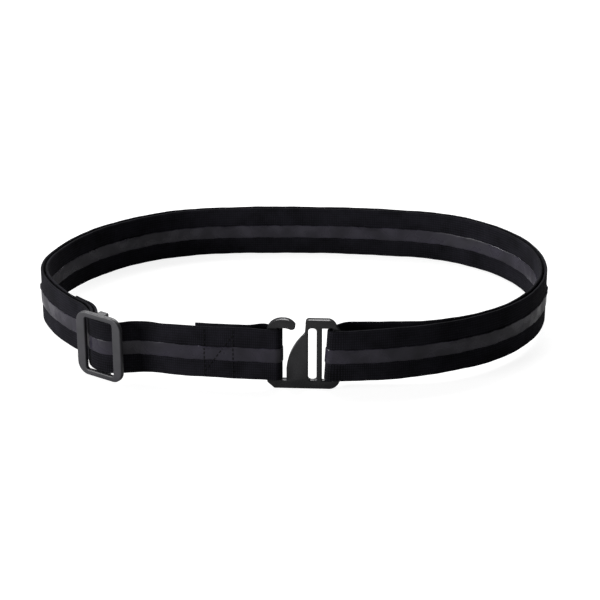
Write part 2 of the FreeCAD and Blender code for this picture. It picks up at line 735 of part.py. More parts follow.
def seam(place, first_z, last_z, along, out, bases):
    """A row of stitches between two heights, upright or leaning.

    place(share) is a point of the face at height 0, for a share from 0 to 1 of the row.  The stripe
    lies under the middle of the row, and stitches there stand on it.
    """
    bottom, top = place(0.0), place(1.0)
    reach = (top - bottom).dot(along)
    rise = last_z - first_z
    row = math.hypot(reach, rise)
    count = int(row // size["stitch_pitch"])
    angle = math.degrees(math.atan2(rise, reach))
    stitches = []
    for i in range(count):
        share = (i + 0.5) / count
        point = place(share)
        height = first_z + rise * share
        point.z = edge_height(point.y) + height
        half_tall = (size["stitch_length"] * abs(math.sin(math.radians(angle))) + size["thread"]) / 2
        from_middle = abs(height - size["strap_width"] / 2)
        if abs(from_middle - size["stripe_width"] / 2) < half_tall:
            continue
        on_stripe = from_middle < size["stripe_width"] / 2
        stitches.append(stitch(point, along, out, angle, bases[1] if on_stripe else bases[0]))
    return stitches


def stitched_node(label, stitches):
    node = doc.addObject("Part::Feature", label)
    node.Shape = Part.makeCompound(stitches)
    node.Label = label
    nodes.append(node)


front_way = direction(size["front_heading"])
front_out = -right_of(size["front_heading"])
low_seam, high_seam = size["seam_margin"], size["strap_width"] - size["seam_margin"]
hook_stitches = []
back_depth = 2 * thickness + size["sewn_gap"]
for out, depth in ((front_out, 0.0), (-front_out, back_depth)):
    def on_front(distance, depth=depth):
        return outer_start + front_way * distance - front_out * depth

    first, second = size["first_seam"], size["second_seam"]
    slant = (second - size["slant_gap"], first + size["slant_gap"])
    for row_start, row_end in ((first, first), (second, second), slant):
        hook_stitches += seam(
            lambda share, a=row_start, b=row_end: on_front(a + (b - a) * share),
            low_seam, high_seam, front_way, out, (0.0, stripe_rise),
        )
stitched_node("hook_loop_stitching", hook_stitches)

slider_stitches = []
for degrees in (size["sewn_reach"] - size["near_seam"], size["sewn_reach"] - size["far_seam"]):
    way, outward = direction(slider_heading - degrees), -right_of(slider_heading - degrees)
    clear = size["thread_clear"]
    for radius, out in ((inner_front + clear, outward), (tail_face - thickness - clear, -outward)):
        slider_stitches += seam(
            lambda share, d=degrees, r=radius: at_slider(d, r),
            low_seam, high_seam, way, out, (0.0, 0.0),
        )
stitched_node("slider_loop_stitching", slider_stitches)


# ---------------------------------------------------------------------------- moulded and cast parts
def origin_plane(body, role):
    return next(f for f in body.Origin.OriginFeatures if f.Role == role)


def body_sketch(body, name, role, loops, bound=()):
    """A sketch on a body's own plane, from loops of edges, with distances bound to the sheet.

    bound holds (edge, names, kind): the edge's length along sketch X or Y is that sum of sizes.
    """
    sketch = body.newObject("Sketcher::SketchObject", name)
    sketch.AttachmentSupport = (origin_plane(body, role), [""])
    sketch.MapMode = "FlatFace"
    doc.recompute()
    for edges in loops:
        base = sketch.GeometryCount
        sketch.addGeometry(edges, False)
        for i in range(len(edges)):
            j = (i + 1) % len(edges)
            ends = [(a, b) for a in (1, 2) for b in (1, 2)
                    if sketch.getPoint(base + i, a).distanceToPoint(sketch.getPoint(base + j, b)) < 1e-5]
            end, begin = ends[0]
            sketch.addConstraint(Sketcher.Constraint("Coincident", base + i, end, base + j, begin))
    for edge, names, kind in bound:
        index = sketch.addConstraint(Sketcher.Constraint(kind, edge, 1, edge, 2, total(names)))
        sketch.setExpression(f"Constraints[{index}]", formula(names))
    return sketch


def line(a, b):
    return Part.LineSegment(Vector(*a, 0), Vector(*b, 0))


def arc(a, b, c):
    return Part.Arc(Vector(*a, 0), Vector(*b, 0), Vector(*c, 0))


def rounded_box(left, low, right, high, radius):
    """Outline of a rectangle with round corners, from the bottom edge round to the right."""
    k = radius * (1 - math.sqrt(0.5))
    return [
        line((left + radius, low), (right - radius, low)),
        arc((right - radius, low), (right - k, low + k), (right, low + radius)),
        line((right, low + radius), (right, high - radius)),
        arc((right, high - radius), (right - k, high - k), (right - radius, high)),
        line((right - radius, high), (left + radius, high)),
        arc((left + radius, high), (left + k, high - k), (left, high - radius)),
        line((left, high - radius), (left, low + radius)),
        arc((left, low + radius), (left + k, low + k), (left + radius, low)),
    ]


def pad(body, name, sketch, length, backwards=False, symmetric=False):
    feature = body.newObject("PartDesign::Pad", name)
    feature.Profile = sketch
    feature.Reversed = backwards
    if symmetric:
        feature.SideType = "Symmetric"
    feature.setExpression("Length", length)
    body.Tip = feature
    doc.recompute()
    return feature


def pocket_through(body, name, sketch):
    feature = body.newObject("PartDesign::Pocket", name)
    feature.Profile = sketch
    feature.Type = "ThroughAll"
    feature.SideType = "Symmetric"
    before = body.Shape.Volume
    body.Tip = feature
    doc.recompute()
    if body.Shape.Volume > before - 1.0:
        raise RuntimeError(f"{name} cuts nothing")
    return feature


def rounded(body, name, alias, wanted):
    """Round the edges that a test picks out."""
    base = body.Tip
    picked = [f"Edge{i}" for i, edge in enumerate(base.Shape.Edges, 1) if wanted(edge)]
    feature = body.newObject("PartDesign::Fillet", name)
    feature.Base = (base, picked)
    feature.setExpression("Radius", f"Sizes.{alias}")
    body.Tip = feature
    doc.recompute()
    return feature


def in_plane_y(edge, y):
    box = edge.BoundBox
    return abs(box.YMin - y) < 1e-4 and abs(box.YMax - y) < 1e-4


# Hooked buckle.  The sketch's X runs along the plate and its Y is up.
slot_low = size["lower_rail"]
slot_high = slot_low + slot_height
neck_x = spare_slot_left - size["neck_wall"]
tip_x = neck_x - size["horn_gap"]
foot_left = (post_left + size["foot_chamfer_run"], 0)
side_left = (post_left, size["foot_chamfer_rise"])
foot_right = (plate_right - size["foot_corner_run"], 0)
side_low = (plate_right, size["foot_corner_rise"])
side_high = (plate_right, plate_height - size["end_bevel_drop"])
bevel_top = (plate_right - size["end_corner_inset"], plate_height - size["end_corner_drop"])
top_right = (plate_right - size["end_corner_run"], plate_height)
top_left = (neck_x + size["neck_corner_run"], plate_height)
neck_top = (neck_x + size["neck_lean"], plate_height - size["neck_corner_drop"])
neck_low = (neck_x, slot_high - size["neck_drop"])
shoulder_low = (neck_x - size["shoulder_run"], slot_high - size["shoulder_drop"])
body_low = (body_left, slot_low + size["body_foot"])
horn_root = (post_right + size["horn_root_run"], slot_high)
tip_low = (tip_x - size["tip_run"], slot_high - size["tip_hang"])
tip = (tip_x, slot_high + size["tip_rise"])
horn_crest = (tip_x - size["horn_crest_run"], plate_height)
horn_back = (post_left, slot_high - size["horn_back_drop"])


def bulged(a, b, bulge):
    """An arc from a to b whose middle stands off the chord, to the left of it when positive."""
    reach, rise = b[0] - a[0], b[1] - a[1]
    share = bulge / math.hypot(reach, rise)
    return arc(a, ((a[0] + b[0]) / 2 - rise * share, (a[1] + b[1]) / 2 + reach * share), b)


buckle_outline = [
    line(foot_left, foot_right),
    bulged(foot_right, side_low, -size["foot_corner_bulge"]),
    line(side_low, side_high),
    line(side_high, bevel_top),
    bulged(bevel_top, top_right, -size["end_corner_bulge"]),
    line(top_right, top_left),
    bulged(top_left, neck_top, -size["neck_corner_bulge"]),
    line(neck_top, neck_low),
    line(neck_low, shoulder_low),
    bulged(shoulder_low, body_low, -size["body_hollow"]),
    line(body_low, (body_left, slot_low)),
    line((body_left, slot_low), (post_right, slot_low)),
    line((post_right, slot_low), (post_right, slot_high)),
    line((post_right, slot_high), horn_root),
    bulged(horn_root, tip_low, size["horn_under_bulge"]),
    bulged(tip_low, tip, -size["tip_under_bulge"]),
    bulged(tip, horn_crest, -size["tip_over_bulge"]),
    bulged(horn_crest, horn_back, -size["horn_back_bulge"]),
    line(horn_back, side_left),
    line(side_left, foot_left),
]
buckle = doc.addObject("PartDesign::Body", "hook_buckle")
buckle.Label = "hook_buckle"
outline = body_sketch(buckle, "buckle_outline", "XZ_Plane", [buckle_outline])
pad(buckle, "buckle_plate", outline, "Sizes.buckle_thickness", symmetric=True)
slots = body_sketch(
    buckle,
    "buckle_slots",
    "XZ_Plane",
    [
        rounded_box(spare_slot_left, slot_low, middle_bar_left, slot_high, size["spare_slot_corner"]),
        rounded_box(bar_slot_left, slot_low, bar_left, slot_high, size["slot_play"]),
    ],
)
pocket_through(buckle, "buckle_slot_cuts", slots)


def on_post_or_slots(edge):
    """Edges of the post, and of the two closed slots, on the plate's faces."""
    if not (in_plane_y(edge, half_plate) or in_plane_y(edge, -half_plate)):
        return False
    box = edge.BoundBox
    upright_edge = box.XLength < 1e-4
    on_post = upright_edge and (abs(box.XMin - post_left) < 1e-4 or abs(box.XMin - post_right) < 1e-4)
    in_slot = any(
        left - 1e-4 < box.XMin and box.XMax < right + 1e-4 and slot_low - 1e-4 < box.ZMin
        and box.ZMax < slot_high + 1e-4
        for left, right in ((spare_slot_left, middle_bar_left), (bar_slot_left, bar_left))
    )
    return on_post or in_slot


rounded(buckle, "buckle_rounding", "edge_round", on_post_or_slots)
buckle.Placement = FreeCAD.Placement(
    on_plate(0, bar_centre), FreeCAD.Rotation(Vector(0, 0, 1), plate_heading)
)
nodes.append(buckle)

# Slider.  Its frame is flat; the sketch's X runs along the webbing and its Y is up.
slider_y = at_slider(0, size["left_front_radius"]).y
slider_slot_low = edge_height(slider_y) - size["slider_play"]
slider_slot_high = edge_height(slider_y) + size["strap_width"] + size["slider_play"]
slider_low = slider_slot_low - size["slider_rail"]
slider_high = slider_slot_high + size["slider_rail"]
slider = doc.addObject("PartDesign::Body", "slider_frame")
slider.Label = "slider_frame"
frame_outline = body_sketch(
    slider,
    "slider_outline",
    "XZ_Plane",
    [rounded_box(-half_slider, slider_low, half_slider, slider_high, size["slider_corner"])],
)
pad(slider, "slider_plate", frame_outline, "Sizes.slider_thickness")
window = body_sketch(
    slider,
    "slider_window",
    "XZ_Plane",
    [rounded_box(-half_window, slider_slot_low, half_window, slider_slot_high, size["window_corner"])],
)
pocket_through(slider, "slider_window_cut", window)
rounded(
    slider,
    "slider_rounding",
    "slider_round",
    lambda edge: in_plane_y(edge, 0) or in_plane_y(edge, -size["slider_thickness"]),
)
# Two lugs behind the rails carry the middle bar, set back so that the webbing passes over it.
half_bar = size["centre_bar_width"] / 2
half_lug = half_bar + size["lug_margin"]
lug_inset, lug_gap, lug_corner = size["lug_inset"], size["lug_gap"], size["lug_corner"]
lugs = body_sketch(
    slider,
    "slider_lugs",
    "XZ_Plane",
    [
        rounded_box(-half_lug, slider_low + lug_inset, half_lug, slider_slot_low - lug_gap, lug_corner),
        rounded_box(-half_lug, slider_slot_high + lug_gap, half_lug, slider_high - lug_inset, lug_corner),
    ],
)
pad(slider, "slider_lug_pads", lugs, "Sizes.lug_depth", backwards=True)
bar_y = slider_back - bar_front
bar_end = size["centre_bar_thickness"] / 2
bar_section = [
    line((-half_bar + bar_end, bar_y), (half_bar - bar_end, bar_y)),
    arc((half_bar - bar_end, bar_y), (half_bar, bar_y + bar_end), (half_bar - bar_end, bar_y + 2 * bar_end)),
    line((half_bar - bar_end, bar_y + 2 * bar_end), (-half_bar + bar_end, bar_y + 2 * bar_end)),
    arc((-half_bar + bar_end, bar_y + 2 * bar_end), (-half_bar, bar_y + bar_end), (-half_bar + bar_end, bar_y)),
]
bar_sketch = body_sketch(slider, "middle_bar_section", "XY_Plane", [bar_section])
bar_low = slider_low + size["bar_inset"]
bar_sketch.AttachmentOffset = FreeCAD.Placement(Vector(0, 0, bar_low), FreeCAD.Rotation())
bar_length = "Sizes.strap_width + 2 * (Sizes.slider_play + Sizes.slider_rail - Sizes.bar_inset)"
pad(slider, "middle_bar", bar_sketch, bar_length)
slider.Placement = FreeCAD.Placement(
    arc_centre + slider_out * slider_back, FreeCAD.Rotation(Vector(0, 0, 1), slider_heading + 180)
)
nodes.append(slider)

# ---------------------------------------------------------------------------- check and write
doc.recompute()
for item in doc.Objects:
    if "Invalid" in item.State or "Error" in item.State:
        raise RuntimeError(f"{item.Label} failed: {item.State}")
os.makedirs("parts", exist_ok=True)
for node in nodes:
    shape = node.Shape
    if shape.isNull() or not shape.isValid():
        raise RuntimeError(f"{node.Label} has no valid shape")
    shape.exportStep(f"parts/{node.Label}.step")
    box = shape.BoundBox
    print(
        f"{node.Label:26s} {shape.Volume:9.1f} mm3  x {box.XMin:7.1f} {box.XMax:7.1f}"
        f"  y {box.YMin:7.1f} {box.YMax:7.1f}  z {box.ZMin:5.1f} {box.ZMax:5.1f}  solids {len(shape.Solids)}"
    )
print("slider turns about (%.3f, %.3f)" % (arc_centre.x, arc_centre.y))
post_middle = on_plate(size["post_width"] / 2, bar_centre)
print("buckle turns about (%.3f, %.3f)" % (post_middle.x, post_middle.y))
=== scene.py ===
# %% [markdown]
# # An elastic waist belt, standing closed on its edge
# The real belt is one long elastic webbing with a rubber grip stripe, a cast hook buckle and a
# moulded slider. The CAD frame holds their sizes, places and joints. This script gives them their
# looks. The webbing is made first, because everything else sits on it.

import json
import math

import bmesh
import bpy
import numpy as np
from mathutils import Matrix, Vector


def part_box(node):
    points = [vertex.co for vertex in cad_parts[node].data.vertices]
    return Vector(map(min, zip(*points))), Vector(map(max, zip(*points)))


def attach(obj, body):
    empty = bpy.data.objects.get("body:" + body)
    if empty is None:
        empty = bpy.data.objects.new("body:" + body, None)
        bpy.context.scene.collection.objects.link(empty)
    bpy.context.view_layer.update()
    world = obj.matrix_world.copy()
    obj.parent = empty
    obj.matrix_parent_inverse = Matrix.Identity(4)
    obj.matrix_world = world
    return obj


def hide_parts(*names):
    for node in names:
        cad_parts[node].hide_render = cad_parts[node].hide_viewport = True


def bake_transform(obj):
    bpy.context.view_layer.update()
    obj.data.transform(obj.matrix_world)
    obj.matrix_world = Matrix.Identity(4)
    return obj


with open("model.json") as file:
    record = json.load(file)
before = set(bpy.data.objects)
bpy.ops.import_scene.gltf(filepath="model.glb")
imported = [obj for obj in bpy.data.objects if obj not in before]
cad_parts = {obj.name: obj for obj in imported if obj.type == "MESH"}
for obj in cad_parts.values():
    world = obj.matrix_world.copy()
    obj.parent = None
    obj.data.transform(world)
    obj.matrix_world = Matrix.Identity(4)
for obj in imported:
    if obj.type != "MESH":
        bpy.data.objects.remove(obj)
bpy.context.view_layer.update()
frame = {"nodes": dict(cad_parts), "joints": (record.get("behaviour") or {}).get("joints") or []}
MM = 0.001

# %% [markdown]
# ## Camera
# The belt is looked at from about a metre away through a long lens, so that its near and its far
# side keep nearly the same scale. The camera comes first, because it settles how large a detail
# has to be before it shows.

# %% Camera
CAMERA_AT = Vector((0.0035, -1.0534, 0.4777))
CAMERA_PITCH = 23.94
LENS_MM = 116.1

camera_data = bpy.data.cameras.new("camera")
camera_data.lens = LENS_MM
camera_data.sensor_width = 36.0
camera = bpy.data.objects.new("camera", camera_data)
camera.location = CAMERA_AT
camera.rotation_euler = (math.radians(90 - CAMERA_PITCH), 0, 0)
bpy.context.scene.collection.objects.link(camera)
bpy.context.scene.camera = camera
print("camera %.3f m from the middle of the belt" % CAMERA_AT.length)

# %% [markdown]
# ## The line of the webbing
# The webbing is one piece from its sewn end on the buckle's post to its sewn end on the slider. It
# runs along the front, round the belt as the outer layer, turns round the buckle's bar and comes
# back as the inner layer. Seen from above, its face is a chain of straight runs and tangent arcs,
# and that chain is walked here once. Positive turns are to the right.

# %% Sizes of the webbing
STRAP_WIDTH = 30.6 * MM
STRAP_THICKNESS = 1.6 * MM
LAYER_SPACE = 1.3 * MM
STRIPE_WIDTH = 8.4 * MM
STRIPE_RISE = 0.4 * MM
EDGE_LIFT = 5.2 * MM
joints = {j["name"]: j for j in frame["joints"]}
post_axis = Vector(joints["buckle_swivel"]["pos_m"])
front_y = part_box("outer_strap_by_buckle")[0].y
back_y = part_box("outer_back_run")[1].y

# %% Walking a chain of runs and bends
def direction(heading):
    angle = math.radians(heading)
    return np.array([math.cos(angle), math.sin(angle)])


def right_of(heading):
    return direction(heading - 90)


TURN_STEP = 6.0  # degrees


def trace(start, heading, moves, step):
    """Points along a chain, with the heading and the length so far at each."""
    points, headings, lengths = [np.array(start)], [heading], [0.0]
    for kind, size, *turn in moves:
        turn = turn[0] if turn else 0.0
        length = size if kind == "run" else size * math.radians(abs(turn))
        count = max(1, math.ceil(length / step), math.ceil(abs(turn) / TURN_STEP))
        origin, first, done = points[-1], headings[-1], lengths[-1]
        for i in range(1, count + 1):
            share = i / count
            if kind == "run":
                point, now = origin + direction(first) * length * share, first
            else:
                side = 1 if turn > 0 else -1
                centre = origin + right_of(first) * size * side
                now = first - turn * share
                point = centre - right_of(now) * size * side
            points.append(point)
            headings.append(now)
            lengths.append(done + length * share)
    return np.array(points), np.array(headings), np.array(lengths)


# %% [markdown]
# The chain starts at the folded end behind the buckle's left side. Its radii are the belt's own
# bends in millimetres. The same angle is used where the outer and the inner layer share a bend, and
# only the radius differs, by the thickness of two layers and the air between them.

# %% The chain of the belt
FRONT_HEADING = 173.2
FRONT_RUN = 42.0 * MM
SEWN_GAP = 0.1 * MM
LAYERS = 2 * STRAP_THICKNESS + LAYER_SPACE
PLATE_HEADING = -3.0
HALF_PLATE = 1.75 * MM
POST_WIDTH = 6.4 * MM
POST_TO_BAR = 29.6 * MM
POST_PLAY = 0.6 * MM
BAR_PLAY = 0.35 * MM
POST_WRAP = HALF_PLATE + POST_PLAY + STRAP_THICKNESS
BAR_WRAP = HALF_PLATE + BAR_PLAY + STRAP_THICKNESS
OUTER_BENDS = [
    # name, radius in millimetres or None where the closing of the belt gives it, turn
    ("left_front", 114.0, 64.0), ("left_bend", 55.0, 32.0), ("left_back", 112.0, 72.0),
    ("back", None, 16.0), ("right_back", 90.0, 58.0), ("right_bend", None, 83.0),
    ("right_front", 161.0, 28.2),
]
SHARED_RIGHT_TURN = 71.0
INNER_FRONT_HEADING = 2.0
BAR_TURN, BAR_LEG, LEG_BEND = 122.0, 3.0 * MM, 11.0 * MM

# %% [markdown]
# Two radii are left open and follow from where the chain has to arrive. The displacement along a
# bend grows evenly with its radius, so two open radii make two plain equations.

# %% Closing the chain on the buckle
def solve_two(target, first, second):
    """Numbers a and b for which a * first + b * second is target."""
    return np.linalg.solve(np.array([first, second]).T, target)


def reached(start, heading, moves):
    """The end point and end heading of a chain."""
    points, headings, _ = trace(start, heading, moves, 1.0)
    return points[-1], headings[-1]


def unit_bend(heading, turn):
    return reached((0.0, 0.0), heading, [("bend", 1.0, turn)])[0]


post_middle = np.array(post_axis[:2])
post_centre = post_middle + direction(PLATE_HEADING) * (POST_WIDTH / 2 - HALF_PLATE)
bar_centre = post_middle + direction(PLATE_HEADING) * (POST_WIDTH / 2 + POST_TO_BAR + HALF_PLATE)
outer_start = post_centre - right_of(FRONT_HEADING) * POST_WRAP
outer_end = bar_centre - right_of(-180) * BAR_WRAP
known, heading, open_bends = outer_start + direction(FRONT_HEADING) * FRONT_RUN, FRONT_HEADING, {}
for name, radius, turn in OUTER_BENDS:
    if radius is None:
        open_bends[name] = unit_bend(heading, turn)
    else:
        known = known + unit_bend(heading, turn) * radius * MM
    heading -= turn
solved = dict(zip(open_bends, solve_two(outer_end - known, *open_bends.values())))
bend = {name: (solved.get(name, (radius or 0) * MM), turn) for name, radius, turn in OUTER_BENDS}
print("radii that close the belt", {name: round(radius / MM, 1) for name, radius in solved.items()})


def bends(names, depth=0.0, way=1):
    return [("bend", bend[n][0] - depth, way * bend[n][1]) for n in names]


# %% The folded end, the outer layer, the bar and the inner layer
FOLD_BEND = 12.0 * MM
FOLD_LEAD = 1.0 * MM
TAIL_LENGTH = 44.0 * MM
fold_outer = FOLD_BEND + STRAP_THICKNESS
fold_depth = 2 * (POST_WRAP - STRAP_THICKNESS) - SEWN_GAP
fold_turn = math.degrees(math.acos(1 - fold_depth / (FOLD_BEND + fold_outer)))
fold_length = (FOLD_BEND + fold_outer) * math.sin(math.radians(fold_turn))
post_span = POST_WIDTH - 2 * HALF_PLATE + FOLD_LEAD
post_loop = [
    ("run", TAIL_LENGTH - post_span - fold_length), ("bend", fold_outer, -fold_turn),
    ("bend", FOLD_BEND, fold_turn), ("run", post_span), ("bend", POST_WRAP, 180.0),
]
back_to_fold = [
    ("run", post_span), ("bend", FOLD_BEND, -fold_turn), ("bend", fold_outer, fold_turn),
    post_loop[0],
]
behind_post = post_centre + right_of(FRONT_HEADING) * POST_WRAP
folded_end, _ = reached(behind_post, FRONT_HEADING, back_to_fold)

to_bar = bends(["left_bend", "left_back", "back", "right_back", "right_bend", "right_front"])
round_bar = [("bend", BAR_WRAP, BAR_TURN), ("run", BAR_LEG),
             ("bend", LEG_BEND, 180 - BAR_TURN - INNER_FRONT_HEADING)]
leg_end, leg_heading = reached(outer_end, 180, round_bar)
right_radius = bend["right_bend"][0]
shared = bends(["left_front", "left_bend", "left_back", "back", "right_back"])
shared.append(("bend", right_radius, SHARED_RIGHT_TURN))
join, join_heading = reached(outer_start, FRONT_HEADING, [("run", FRONT_RUN)] + shared)
join = join + right_of(join_heading) * LAYERS
join_turn = (join_heading + 180 - leg_heading + 180) % 360 - 180
inner_run, inner_radius_right = solve_two(
    join - leg_end, direction(leg_heading), unit_bend(leg_heading, -join_turn)
)
print("inner front run %.1f mm, bend %.1f mm over %.1f degrees" % (
    inner_run / MM, inner_radius_right / MM, join_turn))
from_bar = [
    ("run", inner_run), ("bend", inner_radius_right, -join_turn),
    ("bend", right_radius - LAYERS, -SHARED_RIGHT_TURN),
] + bends(["right_back", "back", "left_back", "left_bend"], LAYERS, -1)

# %% [markdown]
# At the slider both layers leave the belt's line and climb over its middle bar, which stands out in
# front. A climb is two bends: one away from the line, and one back over the top. Where the first
# one starts, and how far each turns, follows from a triangle between the two bends' centres and the
# middle of the belt's own bend.

# %% The webbing on the slider
SLIDER_PLACE = 26.5
WEAVE_REACH = 14.6
LOOP_REACH = 19.2
SEWN_REACH = 18.0
STAND_OFF = 9.2 * MM
BAR_LIFT = 1.2 * MM
BAR_THICKNESS = 2.2 * MM
BAR_WIDTH = 3.0 * MM
WEAVE_FOOT, WEAVE_TOP = 28.0 * MM, 17.0 * MM
LOOP_FOOT, LOOP_TOP = 24.0 * MM, 14.6 * MM


def climb(radius, top, foot_bend, top_bend):
    """Where a climb starts, in degrees before its top, and how far its top bend turns."""
    far, near, reach = radius + foot_bend, top - top_bend, foot_bend + top_bend
    leave = math.acos((far**2 + near**2 - reach**2) / (2 * far * near))
    return math.degrees(leave), math.degrees(math.asin(far * math.sin(leave) / reach))


line_radius, line_turn = bend["left_front"]
inner_radius = line_radius - LAYERS
bar_back = inner_radius + BAR_LIFT + STAND_OFF
bar_front = bar_back + BAR_THICKNESS
weave_top = bar_front + 2 * (SEWN_GAP + STRAP_THICKNESS)
leave, crest = climb(line_radius, weave_top, WEAVE_FOOT, WEAVE_TOP)
shoulder = ("bend", line_radius, WEAVE_REACH - leave)
rise = ("bend", WEAVE_FOOT, leave - crest)
weave = [shoulder, rise, ("bend", WEAVE_TOP, 2 * crest), rise, shoulder]

loop_foot, loop_top = LOOP_FOOT + STRAP_THICKNESS, LOOP_TOP - STRAP_THICKNESS
loop_leave, loop_crest = climb(inner_radius, bar_front + SEWN_GAP, loop_foot, loop_top)
tail_radius = inner_radius - SEWN_GAP
tail_leave, tail_crest = climb(tail_radius, bar_back - SEWN_GAP, LOOP_FOOT, LOOP_TOP)
bar_flat = ("run", (BAR_WIDTH - BAR_THICKNESS) / 2)
sewn_end = [
    ("bend", inner_radius, loop_leave - LOOP_REACH), ("bend", loop_foot, loop_crest - loop_leave),
    ("bend", loop_top, -loop_crest),
    bar_flat, ("bend", BAR_THICKNESS / 2 + SEWN_GAP, -180.0), bar_flat,
    ("bend", LOOP_TOP, tail_crest), ("bend", LOOP_FOOT, tail_leave - tail_crest),
    ("bend", tail_radius, SEWN_REACH - tail_leave),
]
print("the outer layer turns %.1f degrees over the slider's bar" % (2 * crest))

# %% All lengths of the webbing
right_turn = SLIDER_PLACE - WEAVE_REACH
left_turn = line_turn - SLIDER_PLACE - WEAVE_REACH
inner_turn = line_turn - SLIDER_PLACE - LOOP_REACH
sections = [
    ("post_loop", post_loop),
    ("front", [("run", FRONT_RUN)]),
    ("right_of_slider", [("bend", line_radius, right_turn)]),
    ("on_slider", weave),
    ("left_of_slider", [("bend", line_radius, left_turn)]),
    ("outer", to_bar),
    ("round_bar", round_bar),
    ("inner", from_bar),
    ("inner_by_slider", [("bend", inner_radius, -inner_turn)]),
    ("sewn_end", sewn_end),
]


def chain_length(moves):
    return sum(m[1] if m[0] == "run" else m[1] * math.radians(abs(m[2])) for m in moves)


marks, so_far = {}, 0.0
for section_name, section_moves in sections:
    marks[section_name] = so_far
    so_far += chain_length(section_moves)
webbing_length = so_far
STEP = 1.2 * MM
line, headings, lengths = trace(
    folded_end, FRONT_HEADING + 180, [m for _, ms in sections for m in ms], STEP
)
print("the webbing is %.3f m long, in %d steps" % (webbing_length, len(line)))
print("its line reaches", line.min(0).round(4), line.max(0).round(4), "CAD", front_y, back_y)

# %% [markdown]
# ## Materials
# One function turns a hex colour to linear, and one adds a node with its settings and links. Every
# material below starts from what the real surface is and how it was made.

# %% Helpers for materials
def linear(hex_colour):
    """An sRGB hex colour as linear red, green, blue and alpha."""
    parts = [int(hex_colour[i:i + 2], 16) / 255 for i in (0, 2, 4)]
    return [c / 12.92 if c <= 0.04045 else ((c + 0.055) / 1.055) ** 2.4 for c in parts] + [1.0]


def add(tree, kind, settings=None, **inputs):
    """Add a node. settings are its own properties; inputs are values or the sockets to link."""
    node = tree.nodes.new(kind)
    for key, value in (settings or {}).items():
        setattr(node, key, value)
    for key, value in inputs.items():
        wanted = int(key[1:]) if key[1:].isdigit() else key.replace("_", " ")
        socket = node.inputs[wanted]
        if isinstance(value, bpy.types.NodeSocket):
            tree.links.new(value, socket)
        else:
            socket.default_value = value
    return node


def start_material(name):
    material = bpy.data.materials.new(name)
    material.use_nodes = True
    tree = material.node_tree
    tree.nodes.clear()
    return material, tree


def finish_material(tree, **surface):
    shader = add(tree, "ShaderNodeBsdfPrincipled", **surface)
    add(tree, "ShaderNodeOutputMaterial", Surface=shader.outputs[0])


def waves(tree, coordinate, axis, period, **more):
    """Even ridges with a given period in metres, from 0 to 1."""
    scale = 2 * math.pi / (20 * period)
    settings = {"wave_type": "BANDS", "bands_direction": axis}
    bands = add(tree, "ShaderNodeTexWave", settings, Vector=coordinate, Scale=scale, **more)
    return bands.outputs["Fac"]


# %% [markdown]
# Knitted elastic is rubber cores wrapped in black polyester. Its face has fine cords along the
# length with loops across them. It is matt, with a soft sheen where it turns from the light. The
# real cords lie about 0.7 mm apart; they are drawn twice as coarse so that they show.

# %% Elastic webbing
CORD_PITCH = 1.5 * MM
LOOP_PITCH = 1.15 * MM


def webbing_material():
    material, tree = start_material("knitted_elastic")
    uv = add(tree, "ShaderNodeUVMap", {"uv_map": "UVMap"}).outputs[0]
    cords = waves(tree, uv, "Y", CORD_PITCH)
    loops = waves(tree, uv, "X", LOOP_PITCH, Distortion=1.2, Detail=1.0, Detail_Scale=1.0)
    fuzz = add(tree, "ShaderNodeTexNoise", Vector=uv, Scale=1400.0, Detail=3.0).outputs["Fac"]
    knit = add(tree, "ShaderNodeMath", {"operation": "MULTIPLY"}, i0=cords, i1=loops).outputs[0]
    rough_knit = add(
        tree, "ShaderNodeMath", {"operation": "MULTIPLY_ADD"}, i0=fuzz, i1=0.55, i2=knit
    )
    height = add(
        tree, "ShaderNodeBump", Strength=0.55, Distance=0.00022, Height=rough_knit.outputs[0]
    ).outputs[0]
    patches = add(tree, "ShaderNodeTexNoise", Vector=uv, Scale=60.0, Detail=4.0, Roughness=0.65)
    # The colour is lighter on the raised crests of the knit, which is a painted highlight. It also
    # varies in random patches of tone.
    knit_crest_highlight_and_patches = add(tree, "ShaderNodeMath", {"operation": "MULTIPLY_ADD"}, i0=knit, i1=0.5,
                i2=patches.outputs["Fac"]).outputs[0]
    colour = add(tree, "ShaderNodeValToRGB", Fac=knit_crest_highlight_and_patches)
    colour.color_ramp.elements[0].position = 0.35
    colour.color_ramp.elements[0].color = linear("040406")
    colour.color_ramp.elements[1].position = 0.95
    colour.color_ramp.elements[1].color = linear("1e1d24")
    finish_material(
        tree, Base_Color=colour.outputs[0], Roughness=0.9, Normal=height, Specular_IOR_Level=0.1,
        Sheen_Weight=0.02, Sheen_Roughness=0.5, Sheen_Tint=linear("8c8c96"),
    )
    return material


# %% [markdown]
# The grip stripe is silicone rubber printed on the webbing. It is smooth, so it shines softly, and
# its thickness varies a little along the belt, which breaks the highlights into short glints.

# %% Silicone stripe
def stripe_material():
    material, tree = start_material("printed_silicone")
    uv = add(tree, "ShaderNodeUVMap", {"uv_map": "UVMap"}).outputs[0]
    swell = add(
        tree, "ShaderNodeTexNoise", Vector=uv, Scale=85.0, Detail=2.0, Roughness=0.4
    ).outputs["Fac"]
    pores = add(tree, "ShaderNodeTexNoise", Vector=uv, Scale=900.0, Detail=2.0).outputs["Fac"]
    body = add(tree, "ShaderNodeBump", Strength=0.5, Distance=0.0012, Height=swell).outputs[0]
    skin = add(tree, "ShaderNodeBump", Strength=0.15, Distance=0.0001, Height=pores, Normal=body)
    colour = add(tree, "ShaderNodeValToRGB", Fac=swell)
    colour.color_ramp.elements[0].position = 0.3
    colour.color_ramp.elements[0].color = linear("1c1a22")
    colour.color_ramp.elements[1].position = 0.75
    colour.color_ramp.elements[1].color = linear("2e2b36")
    gloss = add(tree, "ShaderNodeMapRange", Value=swell, From_Min=0.48, From_Max=0.62,
                To_Min=0.42, To_Max=0.10).outputs[0]
    finish_material(
        tree, Base_Color=colour.outputs[0], Roughness=gloss, Normal=skin.outputs[0], IOR=1.41,
    )
    return material


